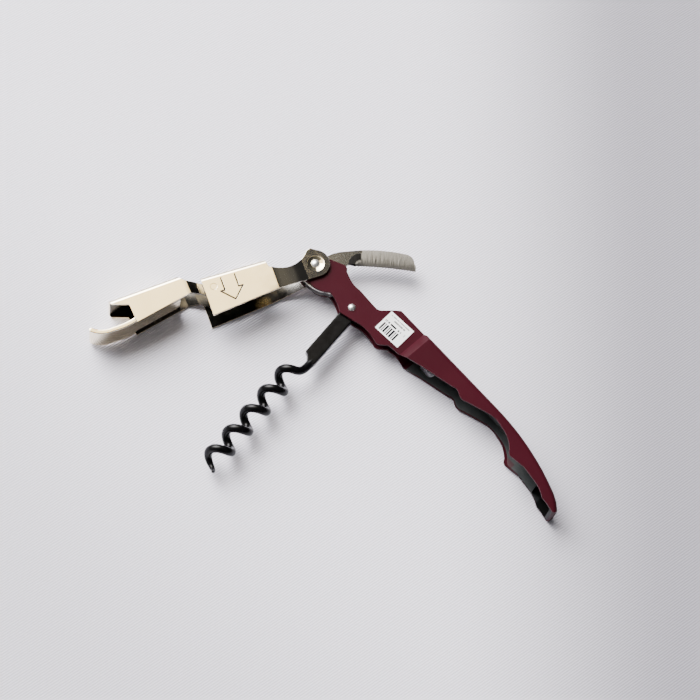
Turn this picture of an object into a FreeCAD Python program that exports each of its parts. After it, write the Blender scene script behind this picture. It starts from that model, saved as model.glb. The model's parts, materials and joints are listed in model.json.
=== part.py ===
import FreeCAD, Part
import Sketcher
import math
import os

# Double-lever waiter's corkscrew lying on its side, opened out.
# Every hinge axis is parallel to +Z. The outlines are drawn in each arm's own frame:
# first coordinate along the arm, away from its pivot; second coordinate to the left of it;
# height 0 is the middle plane that all the arms share.

os.makedirs("parts", exist_ok=True)
doc = FreeCAD.newDocument("lever_corkscrew")
Vec = FreeCAD.Vector
Turn = FreeCAD.Rotation
UP = Vec(0, 0, 1)
SMOOTH = "smooth"

# name, value in mm or degrees, meaning
DIMENSIONS = (
    ("mid_height", 6.4, "height of the middle plane above the table"),
    ("head_east", -18.3585, "head rivet, along X"),
    ("head_north", 34.378, "head rivet, along Y"),
    ("handle_turn", -32.0, "direction of the handle"),
    ("lever_turn", 215.2, "direction of the first lever"),
    ("second_turn", 219.2, "direction of the second lever"),
    ("worm_turn", -113.0, "direction of the worm"),
    ("knife_turn", 12.0, "direction of the knife"),
    ("worm_pivot_along", 20.0, "worm rivet from the head rivet, along the handle"),
    ("worm_pivot_across", -1.2, "worm rivet from the head rivet, across the handle"),
    ("link_pivot_along", 36.8, "second hinge from the head rivet, along the first lever"),
    ("link_pivot_across", -1.2, "second hinge from the head rivet, across the first lever"),
    ("handle_sheet", 0.75, "sheet thickness of the handle"),
    ("neck_outer", 5.0, "outer thickness of the neck"),
    ("neck_slot", 3.3, "gap between the cheeks of the neck"),
    ("grip_outer", 11.0, "outer thickness of the grip"),
    ("grip_inner", 9.5, "gap between the walls of the grip"),
    ("liner_inner", 9.1, "gap inside the liner"),
    ("lever_outer", 12.8, "outer thickness of both levers"),
    ("lever_inner", 11.2, "gap between the plates of both levers"),
    ("lever_sheet", 0.8, "sheet thickness of both levers"),
    ("ear_outer", 7.2, "outer thickness over the ears"),
    ("ear_inner", 5.6, "gap between the ears"),
    ("link_outer", 10.0, "outer thickness of the second lever's neck"),
    ("link_inner", 8.4, "gap inside the second lever's neck"),
    ("tongue_width", 11.1, "width of the opener tongue"),
    ("blade_thick", 1.2, "thickness of the knife"),
    ("shank_thick", 2.92, "thickness of the worm's flat shank"),
    ("wire_radius", 1.4, "radius of the worm's wire"),
    ("coil_radius", 2.9, "radius of the worm's centre line"),
    ("coil_pitch", 9.35, "advance of the worm in one turn"),
    ("coil_turns", 5.0, "turns of the worm"),
    ("pin_radius", 1.2, "radius of the rivets' shanks"),
    ("hole_radius", 1.25, "radius of the holes around the rivets"),
    ("link_pin_radius", 1.1, "radius of the second hinge's pin"),
    ("link_hole_radius", 1.15, "radius of the holes around that pin"),
    ("head_dome_radius", 1.6, "radius of the head rivet's domed ends"),
    ("worm_dome_radius", 1.4, "radius of the worm rivet's domed ends"),
    ("dome_height", 0.8, "height of a rivet's domed end"),
    ("dish_radius", 2.9, "radius of the dish pressed around the head rivet"),
    ("dish_depth", 0.3, "depth of that dish"),
    ("spring_width", 3.24, "width of the leaf spring"),
    ("label_length", 10.5, "length of the paper label"),
    ("label_width", 8.5, "width of the paper label"),
    ("label_thick", 0.08, "thickness of the paper label"),
)

sheet = doc.addObject("Spreadsheet::Sheet", "dims")
for number, (alias, value, meaning) in enumerate(DIMENSIONS, start=1):
    sheet.set("A%d" % number, meaning)
    sheet.set("B%d" % number, str(value))
    sheet.setAlias("B%d" % number, alias)
doc.recompute()


def dim(alias):
    return float(sheet.get(alias))


def turned(angle, along, across):
    swing = math.radians(angle)
    return Vec(along * math.cos(swing) - across * math.sin(swing),
               along * math.sin(swing) + across * math.cos(swing), 0)


def place(point, angle):
    return FreeCAD.Placement(point, Turn(UP, angle))


HEAD = Vec(dim("head_east"), dim("head_north"), dim("mid_height"))
WORM_PIVOT = HEAD + turned(dim("handle_turn"), dim("worm_pivot_along"), dim("worm_pivot_across"))
LINK_PIVOT = HEAD + turned(dim("lever_turn"), dim("link_pivot_along"), dim("link_pivot_across"))
AT_HANDLE = place(HEAD, dim("handle_turn"))
AT_LEVER = place(HEAD, dim("lever_turn"))
AT_SECOND = place(LINK_PIVOT, dim("second_turn"))
AT_WORM = place(WORM_PIVOT, dim("worm_turn"))
AT_KNIFE = place(HEAD, dim("knife_turn"))


# ---------------------------------------------------------------- tools
def new_body(name, placement):
    body = doc.addObject("PartDesign::Body", name)
    body.Label = name
    body.Placement = placement
    return body


def base_plane(body, role):
    for feature in body.Origin.OriginFeatures:
        if feature.Role == role:
            return feature
    raise ValueError(role)


def nearest_end(sketch, index, point):
    gap_start = (sketch.getPoint(index, 1) - point).Length
    gap_end = (sketch.getPoint(index, 2) - point).Length
    return 1 if gap_start < gap_end else 2


def arc_leaving(here, direction, end):
    """The arc from here to end that sets off in the given direction."""
    chord = end - here
    swing = 2 * direction.getAngle(chord)
    if direction.cross(chord).z < 0:
        swing = -swing
    radius = chord.Length / (2 * math.sin(swing / 2))
    centre = here + Turn(UP, 90).multVec(direction) * radius
    middle = centre + Turn(UP, math.degrees(swing) / 2).multVec(here - centre)
    leaving = Turn(UP, math.degrees(swing)).multVec(direction)
    return Part.Arc(here, middle, end), leaving


def draw_path(sketch, path):
    """A closed outline: a start point, then a line to (x, y), an arc through ((mid), (end)),
    or an arc to (x, y, SMOOTH) that carries on from the direction of the piece before it."""
    start = Vec(path[0][0], path[0][1], 0)
    here = start
    heading = None
    joints = []
    steps = list(path[1:])
    last = steps[-1][-1] if isinstance(steps[-1][0], tuple) else steps[-1]
    if (Vec(last[0], last[1], 0) - start).Length > 1e-6:
        steps.append(path[0])
    for step in steps:
        if isinstance(step[0], tuple):
            middle = Vec(step[0][0], step[0][1], 0)
            end = Vec(step[1][0], step[1][1], 0)
            index = sketch.addGeometry(Part.Arc(here, middle, end), False)
        elif len(step) == 3:
            end = Vec(step[0], step[1], 0)
            curve, heading = arc_leaving(here, heading, end)
            index = sketch.addGeometry(curve, False)
        else:
            end = Vec(step[0], step[1], 0)
            heading = (end - here).normalize()
            index = sketch.addGeometry(Part.LineSegment(here, end), False)
        joints.append((index, nearest_end(sketch, index, here), nearest_end(sketch, index, end)))
        here = end
    for number, (index, first, last_end) in enumerate(joints):
        following = joints[(number + 1) % len(joints)]
        sketch.addConstraint(Sketcher.Constraint("Coincident", index, last_end,
                                                 following[0], following[1]))


def draw_circle(sketch, centre, alias):
    index = sketch.addGeometry(Part.Circle(Vec(centre[0], centre[1], 0), UP, dim(alias)), False)
    number = sketch.addConstraint(Sketcher.Constraint("Radius", index, dim(alias)))
    sketch.setExpression("Constraints[%d]" % number, "dims." + alias)


def new_sketch(body, name, role, paths=(), circles=(), lift=0.0):
    sketch = body.newObject("Sketcher::SketchObject", name)
    sketch.AttachmentSupport = [(base_plane(body, role), "")]
    sketch.MapMode = "FlatFace"
    sketch.AttachmentOffset = FreeCAD.Placement(Vec(0, 0, lift), Turn())
    for path in paths:
        draw_path(sketch, path)
    for centre, alias in circles:
        draw_circle(sketch, centre, alias)
    return sketch


def pad(body, name, sketch, length, even=True):
    feature = body.newObject("PartDesign::Pad", name)
    feature.Profile = sketch
    feature.SideType = "Symmetric" if even else "One side"
    feature.setExpression("Length", length)
    sketch.Visibility = False
    return feature


def pocket(body, name, sketch, length=None, even=True, reverse=False):
    feature = body.newObject("PartDesign::Pocket", name)
    feature.Profile = sketch
    feature.SideType = "Symmetric" if even else "One side"
    if length is None:
        feature.Type = "ThroughAll"
    else:
        feature.setExpression("Length", length)
    feature.Reversed = reverse
    sketch.Visibility = False
    return feature


def round_edges(body, name, test, radius):
    """Rounds the edges of the body so far that pass the test."""
    doc.recompute()
    base = body.Tip
    picked = ["Edge%d" % n for n, edge in enumerate(base.Shape.Edges, start=1) if test(edge)]
    if not picked:
        raise ValueError("no edge for " + name)
    feature = body.newObject("PartDesign::Fillet", name)
    feature.Base = (base, picked)
    feature.setExpression("Radius", radius)
    return feature


def centre_of(edge):
    return edge.valueAt((edge.FirstParameter + edge.LastParameter) / 2.0)


def flat_at(edge, height):
    box = edge.BoundBox
    level = max(abs(box.ZMin), abs(box.ZMax))
    return abs(box.ZMax - box.ZMin) < 1e-4 and abs(level - height) < 1e-4


def mirrored(path):
    """The same outline on the other side of the middle plane."""
    flipped = []
    for step in path:
        if isinstance(step[0], tuple):
            flipped.append(((step[0][0], -step[0][1]), (step[1][0], -step[1][1])))
        else:
            flipped.append((step[0], -step[1]))
    return flipped


PIECES = {}


def keep(name, feature):
    PIECES[name] = feature


# ---------------------------------------------------------------- handle
NECK_UPPER = [(1.0, 4.8), (6.7, 7.6), ((8.1, 7.5), (9.0, 6.6)), (11.4, 5.7), ((14.0, 5.1), (17.1, 5.3)),
              (25.4, 5.0), ((26.9, 5.4), (27.9, 6.4)), (30.6, 9.6), (32.0, 11.0)]
SPINE_OUTER = [(79.6, 11.0), (113.4, 4.6, SMOOTH), (119.0, 0.9, SMOOTH)]
TAIL_END = [(118.7, -0.5), (118.0, -0.9)]
GRIP_LOWER = [(114.6, -0.2), (112.3, 0.0), ((109.0, 1.6), (105.2, 2.3)), (100.6, 2.9), (95.6, 2.2),
              ((94.0, 2.3), (93.0, 3.4)), ((89.6, 5.9), (85.6, 7.0)), ((82.0, 7.5), (78.5, 6.8)),
              (71.0, 4.2), ((69.0, 3.7), (67.2, 4.3)), ((65.6, 4.8), (63.8, 4.3)), (52.0, 1.4), (46.2, -0.3)]
NECK_LOWER = [(43.6, -0.4), (38.4, -1.0), (36.3, -3.0), ((35.4, -3.6), (34.2, -3.5)), (31.0, -3.0),
              ((27.0, -3.1), (24.3, -3.9)), (18.5, -5.5), ((14.3, -3.6), (10.9, -3.0)),
              ((8.6, -5.0), (4.0, -6.0)), ((-4.4, -2.6), (1.0, 4.8))]


def build_handle():
    body = new_body("handle_shell", AT_HANDLE)
    outline = NECK_UPPER + SPINE_OUTER + TAIL_END + GRIP_LOWER + NECK_LOWER
    pad(body, "handle_blank", new_sketch(body, "handle_outline", "XY_Plane", [outline]), "dims.grip_outer")

    half = dim("grip_outer") / 2

    def on_spine(edge):
        middle = centre_of(edge)
        along_spine = middle.x > 50.0 and middle.y > 8.0
        along_tail = middle.x > 112.0 and middle.y > 1.0
        return flat_at(edge, half) and (along_spine or along_tail)

    round_edges(body, "spine_bend", on_spine, "dims.handle_sheet * 2.4")

    # the cheeks of the neck stand closer together than the walls of the grip
    neck = dim("neck_outer") / 2
    over = [(-9.0, neck), (43.4, neck), (46.4, half), (46.4, half + 2.0), (-9.0, half + 2.0)]
    trim = new_sketch(body, "neck_trim_outline", "XZ_Plane", [over, mirrored(over)])
    pocket(body, "neck_trim", trim)
    slot = dim("neck_slot") / 2
    room = dim("grip_inner") / 2
    gap = [(-9.0, -slot), (43.0, -slot), (46.2, -room), (46.9, -room), (46.9, room), (46.2, room),
           (43.0, slot), (-9.0, slot)]
    pocket(body, "neck_gap", new_sketch(body, "neck_gap_outline", "XZ_Plane", [gap]))

    # the folded channel of the grip, open on its wavy side
    channel = [(46.5, -3.0), (46.5, 10.25), (79.6, 10.25), ((99.6, 8.15), (113.0, 3.9)),
               ((115.6, 2.6), (117.0, 1.2)), (116.4, -3.0)]
    pocket(body, "grip_channel", new_sketch(body, "grip_channel_outline", "XY_Plane", [channel]),
           "dims.grip_inner")
    holes = [((0.0, 0.0), "hole_radius"),
             ((dim("worm_pivot_along"), dim("worm_pivot_across")), "hole_radius")]
    pocket(body, "rivet_holes", new_sketch(body, "rivet_hole_outlines", "XY_Plane", [], holes))
    drain = [(51.0, 3.9), ((49.2, 5.7), (51.0, 7.5)), (53.6, 7.5), ((55.4, 5.7), (53.6, 3.9))]
    floor = new_sketch(body, "floor_slot_outline", "XY_Plane", [drain])
    pocket(body, "floor_slot", floor, "dims.grip_outer", even=False)
    keep("handle_shell", body)
    return body


def build_liner():
    """A thin dark liner against the floor and the spine wall of the grip."""
    body = new_body("grip_liner", AT_HANDLE)
    blank = [(47.4, -0.05), (47.4, 10.2), (79.6, 10.2), ((95.2, 8.98), (108.6, 5.5)), (107.6, 2.0),
             (105.2, 2.5), (100.6, 3.1), (95.9, 2.6), ((94.8, 3.0), (93.6, 4.2)),
             ((89.8, 6.6), (85.6, 7.4)), ((82.0, 7.8), (78.3, 7.1)), (70.8, 4.5),
             ((69.0, 4.0), (67.4, 4.6)), ((65.6, 5.1), (63.7, 4.6)), (52.0, 1.7)]
    pad(body, "liner_blank", new_sketch(body, "liner_outline", "XY_Plane", [blank]), "dims.grip_inner - 0.02")
    hollow = [(40.0, -4.0), (40.0, 10.0), (79.6, 10.0), ((95.2, 8.78), (109.6, 4.95)), (109.6, -4.0)]
    pocket(body, "liner_hollow", new_sketch(body, "liner_hollow_outline", "XY_Plane", [hollow]),
           "dims.liner_inner")
    drain = [(51.0, 3.9), ((49.2, 5.7), (51.0, 7.5)), (53.6, 7.5), ((55.4, 5.7), (53.6, 3.9))]
    floor = new_sketch(body, "liner_slot_outline", "XY_Plane", [drain])
    pocket(body, "liner_slot", floor, "dims.grip_outer", even=False)
    keep("grip_liner", body)


def build_label():
    body = new_body("price_label", AT_HANDLE)
    sketch = body.newObject("Sketcher::SketchObject", "label_outline")
    sketch.AttachmentSupport = [(base_plane(body, "XY_Plane"), "")]
    sketch.MapMode = "FlatFace"
    sketch.AttachmentOffset = FreeCAD.Placement(Vec(30.5, -0.1, dim("neck_outer") / 2), Turn(UP, 4.0))
    length = dim("label_length")
    width = dim("label_width")
    draw_path(sketch, [(0, 0), (length, 0), (length, width), (0, width)])
    pad(body, "label_sheet", sketch, "dims.label_thick", even=False)
    keep("price_label", body)


def build_rivet(name, placement, length, dome_radius, shank_radius):
    """A rivet with two domed ends, turned about its own axis."""
    body = new_body(name, placement)
    half = length / 2
    dome = dim(dome_radius)
    rise = dim("dome_height")
    shank = dim(shank_radius)
    sphere = (dome * dome + rise * rise) / (2 * rise)
    lean = math.asin(dome / sphere) / 2
    shoulder = (sphere * math.sin(lean), half + rise - sphere + sphere * math.cos(lean))
    outline = [(0, -half - rise), ((shoulder[0], -shoulder[1]), (dome, -half)), (shank, -half),
               (shank, half), (dome, half), (shoulder, (0, half + rise))]
    sketch = new_sketch(body, name + "_outline", "XZ_Plane", [outline])
    feature = body.newObject("PartDesign::Revolution", name + "_turned")
    feature.Profile = sketch
    feature.ReferenceAxis = (sketch, ["V_Axis"])
    feature.Angle = 360
    keep(name, body)


def build_rings(name, placement, inner, outer_radius, low, high):
    """Two equal rings, one on each side of the middle plane."""
    rings = []
    for side, tag in ((1, "_top"), (-1, "_bottom")):
        ring = doc.addObject("Part::Cylinder", name + tag)
        ring.Radius = outer_radius
        ring.Height = high - low
        bore = doc.addObject("Part::Cylinder", name + tag + "_bore")
        bore.setExpression("Radius", inner)
        bore.Height = high - low + 1
        base = low if side > 0 else -high
        ring.Placement = placement.multiply(FreeCAD.Placement(Vec(0, 0, base), Turn()))
        bore.Placement = placement.multiply(FreeCAD.Placement(Vec(0, 0, base - 0.5), Turn()))
        cut = doc.addObject("Part::Cut", name + tag + "_ring")
        cut.Base = ring
        cut.Tool = bore
        rings.append(cut)
    group = doc.addObject("Part::Compound", name)
    group.Links = rings
    keep(name, group)


def build_leaf_spring():
    """Bent strip between the cheeks, following the lower side of the head."""
    body = new_body("leaf_spring", AT_HANDLE)
    strip = [(-1.6, -6.1), ((4.6, -6.6), (8.9, -4.8)), ((10.6, -3.4), (13.2, -2.2)), (12.9, -1.5),
             ((10.2, -2.7), (8.5, -4.1)), ((4.6, -5.8), (-1.6, -5.3))]
    pad(body, "spring_strip", new_sketch(body, "spring_outline", "XY_Plane", [strip]), "dims.spring_width")
    keep("leaf_spring", body)


# ---------------------------------------------------------------- knife
def build_knife():
    body = new_body("knife_blade", AT_KNIFE)
    outline = [(-3.2, 1.6), ((-1.0, 3.5), (3.0, 3.6)), ((6.5, 5.7), (10.5, 6.8)), ((21.0, 8.3), (31.4, 7.9)),
               ((33.5, 7.0), (34.6, 4.6)), ((35.2, 3.2), (35.4, 1.7)), (34.6, 1.6), ((25.0, 2.3), (15.7, 2.3)),
               (12.3, 2.2), ((11.4, 1.9), (10.9, 1.2)), ((6.4, -1.4), (2.4, -2.6)), ((-2.6, -2.4), (-3.2, 1.6))]
    pad(body, "knife_plate", new_sketch(body, "knife_outline", "XY_Plane", [outline]), "dims.blade_thick")
    half = dim("blade_thick") / 2
    edge = 0.06
    bevel = [(0.5, edge), (1.5, edge), (6.4, half), (6.4, half + 1), (0.5, half + 1)]
    grind = new_sketch(body, "grind_outline", "YZ_Plane", [bevel, mirrored(bevel)], lift=14.0)
    pocket(body, "grind", grind, even=False, reverse=True)
    pocket(body, "knife_hole", new_sketch(body, "knife_hole_outline", "XY_Plane", [],
                                          [((0.0, 0.0), "hole_radius")]))
    keep("knife_blade", body)


# ---------------------------------------------------------------- worm
def coil_point(turn, squeeze=1.0):
    """Centre line of the right-handed helix; its axis runs along the arm, to the right of the pivot."""
    angle = 2 * math.pi * turn
    radius = dim("coil_radius") * squeeze
    return Vec(29.0 + dim("coil_pitch") * turn, -1.8 + radius * math.cos(angle), radius * math.sin(angle))


def build_worm():
    shank = new_body("worm_shank", AT_WORM)
    outline = [(0.0, -2.35), (22.6, -2.4), (23.1, -1.1), (24.6, -0.2), (27.2, 0.15), (27.2, 3.0), (0.0, 3.0),
               ((-2.6, 0.3), (0.0, -2.35))]
    pad(shank, "shank_bar", new_sketch(shank, "shank_outline", "XY_Plane", [outline]), "dims.shank_thick")

    def wire_end(edge):
        middle = centre_of(edge)
        return middle.x > 24.8 and edge.BoundBox.XLength > 1.0

    round_edges(shank, "shank_wire_end", wire_end, "dims.wire_radius * 0.8")
    pocket(shank, "shank_hole", new_sketch(shank, "shank_hole_outline", "XY_Plane", [],
                                           [((0.0, 0.0), "hole_radius")]))
    doc.recompute()

    wire_radius = dim("wire_radius")
    lead = [Vec(23.5, 1.5, 0), Vec(25.3, 1.5, 0), Vec(27.0, 1.3, -0.45)]
    full_turns = dim("coil_turns") - 0.55
    steps = int(full_turns * 16)
    coil = [coil_point(-0.08 + (full_turns + 0.08) * n / steps) for n in range(steps + 1)]
    line = Part.BSplineCurve()
    line.interpolate(lead + coil)
    spine = Part.Wire([line.toShape()])

    def ring_at(point, direction, radius):
        return Part.Wire([Part.Circle(point, direction, radius).toShape()])

    start_way = line.tangent(line.FirstParameter)[0]
    main = spine.makePipeShell([ring_at(lead[0], start_way, wire_radius)], True, True)

    tip_turns = dim("coil_turns") + 0.05 - full_turns
    tip_steps = 10
    tip_points = []
    for n in range(tip_steps + 1):
        share = n / tip_steps
        tip_points.append(coil_point(full_turns + tip_turns * share, 1.0 - 0.12 * share * share))
    tip_line = Part.BSplineCurve()
    end_way = line.tangent(line.LastParameter)[0]
    tip_line.interpolate(Points=tip_points, InitialTangent=end_way, FinalTangent=tip_points[-1] - tip_points[-2])
    tip_spine = Part.Wire([tip_line.toShape()])
    first = tip_line.FirstParameter
    span = tip_line.LastParameter - first
    rings = []
    for share, ratio in ((0.0, 1.0), (0.45, 0.8), (1.0, 0.1)):
        where = first + span * share
        rings.append(ring_at(tip_line.value(where), tip_line.tangent(where)[0], wire_radius * ratio))
    tip = tip_spine.makePipeShell(rings, True, True)

    helix = doc.addObject("Part::Feature", "worm_coil")
    helix.Shape = main.fuse(tip)
    helix.Placement = AT_WORM
    worm = doc.addObject("Part::MultiFuse", "worm")
    worm.Shapes = [shank, helix]
    keep("worm", worm)


# ---------------------------------------------------------------- first lever
def build_first_lever():
    body = new_body("first_lever", AT_LEVER)
    outline = [(40.1, -5.7), (40.1, 8.8), (7.8, 5.1), (-0.6, 4.96), ((-5.0, -0.3), (-2.2, -4.5)),
               (0.1, -6.0), (1.6, -5.4), ((7.6, -1.4), (14.6, -1.9)), (16.4, -2.6), (17.1, -5.7)]
    pad(body, "lever_blank", new_sketch(body, "lever_outline", "XY_Plane", [outline]), "dims.lever_outer")
    half = dim("lever_outer") / 2

    def spine_edge(edge):
        middle = centre_of(edge)
        return flat_at(edge, half) and middle.y < -5.6 and edge.Length > 10

    round_edges(body, "lever_bend", spine_edge, "dims.lever_sheet * 1.9")

    # the plates come together into two ears over the neck of the handle
    room = dim("lever_inner") / 2
    ear = dim("ear_outer") / 2
    ear_room = dim("ear_inner") / 2
    over = [(-9.0, ear), (4.2, ear), (14.0, half - 0.35), ((14.9, half - 0.08), (16.0, half)),
            (16.0, half + 2), (-9.0, half + 2)]
    pocket(body, "ear_trim", new_sketch(body, "ear_trim_outline", "XZ_Plane", [over, mirrored(over)]))
    gap = [(-9.0, -ear_room), (4.4, -ear_room), (14.4, -room), (18.0, -room),
           (18.0, room), (14.4, room), (4.4, ear_room), (-9.0, ear_room)]
    ear_gap = new_sketch(body, "ear_gap_outline", "XZ_Plane", [gap])
    pocket(body, "ear_gap", ear_gap)
    sheet_inside = -5.7 + dim("lever_sheet")
    channel = [(17.0, sheet_inside), (42.0, sheet_inside), (42.0, 12.0), (17.0, 12.0)]
    pocket(body, "lever_channel", new_sketch(body, "lever_channel_outline", "XY_Plane", [channel]),
           "dims.lever_inner")
    # a gap in the spine wall, for the neck of the second lever to swing through
    window = [(30.5, -5.3), ((29.3, -4.1), (28.1, 0.0)), ((29.3, 4.1), (30.5, 5.3)), (42.0, 5.3), (42.0, -5.3)]
    swing = new_sketch(body, "swing_gap_outline", "XZ_Plane", [window])
    pocket(body, "swing_gap", swing, "dims.lever_sheet + 7", even=False, reverse=True)
    pocket(body, "head_hole", new_sketch(body, "head_hole_outline", "XY_Plane", [],
                                         [((0.0, 0.0), "hole_radius")]))
    link = [((dim("link_pivot_along"), dim("link_pivot_across")), "link_hole_radius")]
    pocket(body, "link_hole", new_sketch(body, "link_hole_outline", "XY_Plane", [], link))
    for side, tag in ((1, "top"), (-1, "bottom")):
        height = side * (ear - dim("dish_depth"))
        dish = new_sketch(body, "dish_%s_outline" % tag, "XY_Plane", [], [((0.0, 0.0), "dish_radius")],
                          lift=height)
        pocket(body, "dish_" + tag, dish, "dims.dish_depth + 1", even=False, reverse=side > 0)
    keep("first_lever", body)


# ---------------------------------------------------------------- second lever
def build_second_lever():
    body = new_body("second_lever", AT_SECOND)
    outline = [(-3.4, 0.0), ((0.0, -3.4), (2.6, -2.4)), (5.2, -4.2), (8.1, -5.6), (10.6, -8.2),
               (35.0, -8.2), (34.6, -6.7), (29.0, -4.4),
               (28.8, 2.5), (8.1, -0.8), (4.4, 0.6), (2.2, 2.7), ((-1.6, 3.2), (-3.4, 0.0))]
    pad(body, "second_blank", new_sketch(body, "second_outline", "XY_Plane", [outline]), "dims.lever_outer")
    half = dim("lever_outer") / 2

    def spine_edge(edge):
        middle = centre_of(edge)
        return flat_at(edge, half) and middle.y < -8.1 and edge.Length > 10

    round_edges(body, "second_bend", spine_edge, "dims.lever_sheet * 1.9")
    room = dim("lever_inner") / 2
    link = dim("link_outer") / 2
    link_room = dim("link_inner") / 2
    over = [(-9.0, link), (4.6, link), (8.0, half), (8.0, half + 2), (-9.0, half + 2)]
    pocket(body, "link_trim", new_sketch(body, "link_trim_outline", "XZ_Plane", [over, mirrored(over)]))
    gap = [(-9.0, -link_room), (5.0, -link_room), (8.5, -room), (12.4, -room), (12.4, room), (8.5, room),
           (5.0, link_room), (-9.0, link_room)]
    pocket(body, "link_gap", new_sketch(body, "link_gap_outline", "XZ_Plane", [gap]))
    sheet_inside = -8.2 + dim("lever_sheet")
    channel = [(11.0, sheet_inside), (40.0, sheet_inside), (40.0, 8.0), (11.0, 8.0)]
    pocket(body, "second_channel", new_sketch(body, "second_channel_outline", "XY_Plane", [channel]),
           "dims.lever_inner")
    pocket(body, "second_hole", new_sketch(body, "second_hole_outline", "XY_Plane", [],
                                           [((0.0, 0.0), "link_hole_radius")]))
    keep("second_lever", body)


def build_tongue():
    """Thick strip across the open side of the second lever; its bent end lifts crown caps."""
    body = new_body("opener_tongue", AT_SECOND)
    strip = [(11.6, -2.45), (28.4, 0.25), ((33.0, 0.95), (37.4, 0.95)), ((41.0, 0.4), (43.6, -1.4)),
             ((44.6, -1.3), (44.7, -0.3)), ((41.4, 1.9), (37.4, 2.45)), ((32.0, 2.5), (28.0, 1.75)),
             (11.4, -0.95)]
    pad(body, "tongue_strip", new_sketch(body, "tongue_outline", "XY_Plane", [strip]), "dims.tongue_width")

    keep("opener_tongue", body)


def build_pin(name, placement, radius, length):
    pin = doc.addObject("Part::Cylinder", name)
    pin.setExpression("Radius", radius)
    pin.Height = length
    pin.Placement = placement.multiply(FreeCAD.Placement(Vec(0, 0, -length / 2), Turn()))
    keep(name, pin)


build_handle()
build_liner()
build_label()
build_leaf_spring()
build_knife()
build_worm()
build_first_lever()
build_second_lever()
build_tongue()

dish_floor = dim("ear_outer") - 2 * dim("dish_depth")
build_rivet("head_rivet", AT_HANDLE, dish_floor + 0.04, "head_dome_radius", "pin_radius")
build_rivet("worm_rivet", place(WORM_PIVOT, dim("handle_turn")), dim("neck_outer") + 0.02,
            "worm_dome_radius", "pin_radius")
build_rings("head_washers", AT_HANDLE, "dims.hole_radius", 2.6, dim("neck_outer") / 2 + 0.01, 2.74)
build_rings("knife_spacers", AT_HANDLE, "dims.hole_radius", 2.9, 0.64, dim("neck_slot") / 2 - 0.01)
build_rings("worm_washers", place(WORM_PIVOT, 0), "dims.hole_radius", 2.2, 1.48, 1.64)
build_rings("link_washers", place(LINK_PIVOT, 0), "dims.link_hole_radius", 2.3, 5.03, 5.57)
build_pin("link_pin", place(LINK_PIVOT, 0), "dims.link_pin_radius", dim("lever_outer") - 0.04)
tongue_pin_at = AT_SECOND.multiply(FreeCAD.Placement(Vec(13.4, -3.4, 0), Turn()))
build_pin("tongue_pin", tongue_pin_at, "dims.link_pin_radius * 0.75", dim("lever_inner") - 0.04)
doc.recompute()

# ---------------------------------------------------------------- checks and files
for item in doc.Objects:
    for word in ("Invalid", "Error"):
        if word in item.State:
            raise RuntimeError("%s is %s" % (item.Name, item.State))

box = FreeCAD.BoundBox()
for name, feature in PIECES.items():
    shape = feature.Shape
    if shape.isNull() or not shape.isValid():
        raise RuntimeError(name + " has no valid shape")
    box.add(shape.BoundBox)
    shape.exportStep("parts/%s.step" % name)
    print("%-14s solids %d  volume %8.1f mm3" % (name, len(shape.Solids), shape.Volume))
print("bounds %.3f..%.3f  %.3f..%.3f  %.3f..%.3f" % (box.XMin, box.XMax, box.YMin, box.YMax, box.ZMin, box.ZMax))
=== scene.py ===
import json
import math
import bmesh
import bpy
from mathutils import Matrix, Vector


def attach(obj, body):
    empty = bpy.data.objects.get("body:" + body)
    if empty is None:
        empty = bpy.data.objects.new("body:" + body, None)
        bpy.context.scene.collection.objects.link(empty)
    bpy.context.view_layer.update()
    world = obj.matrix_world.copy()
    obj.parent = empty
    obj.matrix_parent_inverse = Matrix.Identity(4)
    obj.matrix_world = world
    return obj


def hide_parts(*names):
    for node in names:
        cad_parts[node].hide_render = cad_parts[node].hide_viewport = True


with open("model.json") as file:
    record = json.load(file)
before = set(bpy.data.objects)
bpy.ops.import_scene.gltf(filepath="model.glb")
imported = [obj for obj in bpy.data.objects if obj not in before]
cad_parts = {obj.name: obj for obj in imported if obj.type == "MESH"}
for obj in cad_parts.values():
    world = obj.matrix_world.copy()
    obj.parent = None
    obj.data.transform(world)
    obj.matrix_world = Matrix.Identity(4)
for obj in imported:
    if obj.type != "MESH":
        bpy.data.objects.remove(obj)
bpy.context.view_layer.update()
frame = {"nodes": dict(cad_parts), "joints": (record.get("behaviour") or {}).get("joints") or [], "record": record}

MM = 0.001
PER_MM = 1000.0
NODES = frame["nodes"]
PIVOTS = {joint["name"]: Vector(joint["pos_m"]) for joint in frame["joints"]}
HEAD = PIVOTS["lever_hinge"]
LINK = PIVOTS["second_lever_hinge"]
WORM = PIVOTS["worm_hinge"]

# each arm's own frame: pivot, and direction in degrees from +X
ARMS = {"handle": (HEAD, -32.0), "lever": (HEAD, 215.2), "second": (LINK, 219.2),
        "worm": (WORM, -113.0), "knife": (HEAD, 12.0)}


def arm_matrix(arm):
    """Takes an arm's own frame to the world."""
    pivot, turn = ARMS[arm]
    return Matrix.Translation(pivot) @ Matrix.Rotation(math.radians(turn), 4, "Z")


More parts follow.
